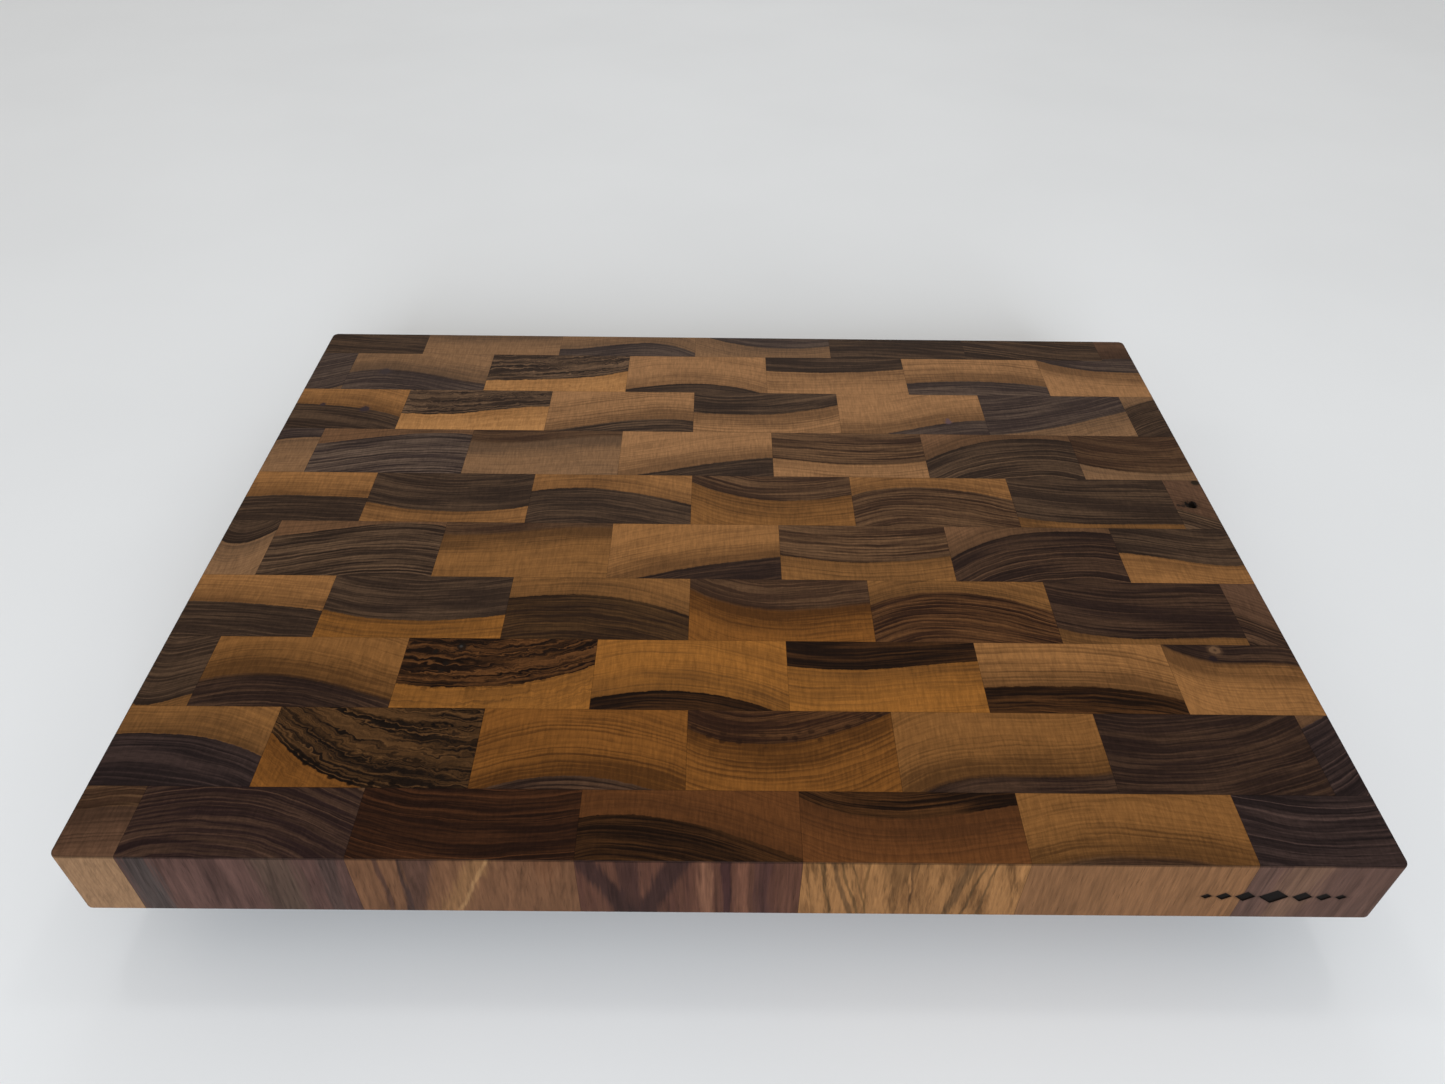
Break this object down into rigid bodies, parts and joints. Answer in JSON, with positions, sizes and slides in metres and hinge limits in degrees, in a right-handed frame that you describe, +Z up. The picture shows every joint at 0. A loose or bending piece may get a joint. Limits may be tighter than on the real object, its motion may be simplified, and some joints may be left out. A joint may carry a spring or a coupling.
{
  "type": "cutting board",
  "caption": "Rectangular end-grain butcher block of staggered upright walnut blocks, with rounded corners and screwed rubber feet, for chopping and carving.",
  "frame": {"origin": "middle of the footprint, on the surface that the feet stand on", "axes": "+X along the long side to the right, +Y to the back, +Z up; the burnt ornament is on the front face, towards -Y"},
  "size_m": [0.6096, 0.4572, 0.0825],
  "materials": {
    "walnut_heartwood": "oiled end grain, dark brown with fine growth rings, satin",
    "walnut_mixed": "oiled end grain, heartwood and sapwood in one block, satin",
    "walnut_sapwood": "oiled end grain, mostly tan sapwood, satin",
    "rubber_foot": "moulded, matte",
    "steel_washer": "zinc plated, punched",
    "steel_screw": "zinc plated, cross recess"
  },
  "bodies": {
    "root": {"bar_1_block_1": "walnut_mixed", "bar_1_block_2": "walnut_heartwood", "bar_1_block_3": "walnut_heartwood", "bar_1_block_4": "walnut_mixed", "bar_1_block_5": "walnut_mixed", "bar_1_block_6": "walnut_sapwood", "bar_1_block_7": "walnut_heartwood", "bar_2_block_1": "walnut_mixed", "bar_2_block_2": "walnut_heartwood", "bar_2_block_3": "walnut_sapwood", "bar_2_block_4": "walnut_mixed", "bar_2_block_5": "walnut_sapwood", "bar_2_block_6": "walnut_heartwood", "bar_2_block_7": "walnut_heartwood", "bar_3_block_1": "walnut_heartwood", "bar_3_block_2": "walnut_mixed", "bar_3_block_3": "walnut_mixed", "bar_3_block_4": "walnut_sapwood", "bar_3_block_5": "walnut_mixed", "bar_3_block_6": "walnut_mixed", "bar_3_block_7": "walnut_sapwood", "bar_4_block_1": "walnut_mixed", "bar_4_block_2": "walnut_mixed", "bar_4_block_3": "walnut_mixed", "bar_4_block_4": "walnut_mixed", "bar_4_block_5": "walnut_mixed", "bar_4_block_6": "walnut_heartwood", "bar_4_block_7": "walnut_heartwood", "bar_5_block_1": "walnut_sapwood", "bar_5_block_2": "walnut_heartwood", "bar_5_block_3": "walnut_sapwood", "bar_5_block_4": "walnut_sapwood", "bar_5_block_5": "walnut_mixed", "bar_5_block_6": "walnut_heartwood", "bar_5_block_7": "walnut_mixed", "bar_6_block_1": "walnut_mixed", "bar_6_block_2": "walnut_mixed", "bar_6_block_3": "walnut_mixed", "bar_6_block_4": "walnut_mixed", "bar_6_block_5": "walnut_mixed", "bar_6_block_6": "walnut_heartwood", "bar_6_block_7": "walnut_heartwood", "bar_7": "walnut_mixed", "bar_8": "walnut_mixed", "bar_9": "walnut_mixed", "bar_10": "walnut_mixed", "foot_front_left": "rubber_foot", "washer_front_left": "steel_washer", "screw_front_left": "steel_screw", "foot_front_right": "rubber_foot", "washer_front_right": "steel_washer", "screw_front_right": "steel_screw", "foot_rear_left": "rubber_foot", "washer_rear_left": "steel_washer", "screw_rear_left": "steel_screw", "foot_rear_right": "rubber_foot", "washer_rear_right": "steel_washer", "screw_rear_right": "steel_screw"}
  },
  "joints": []
}
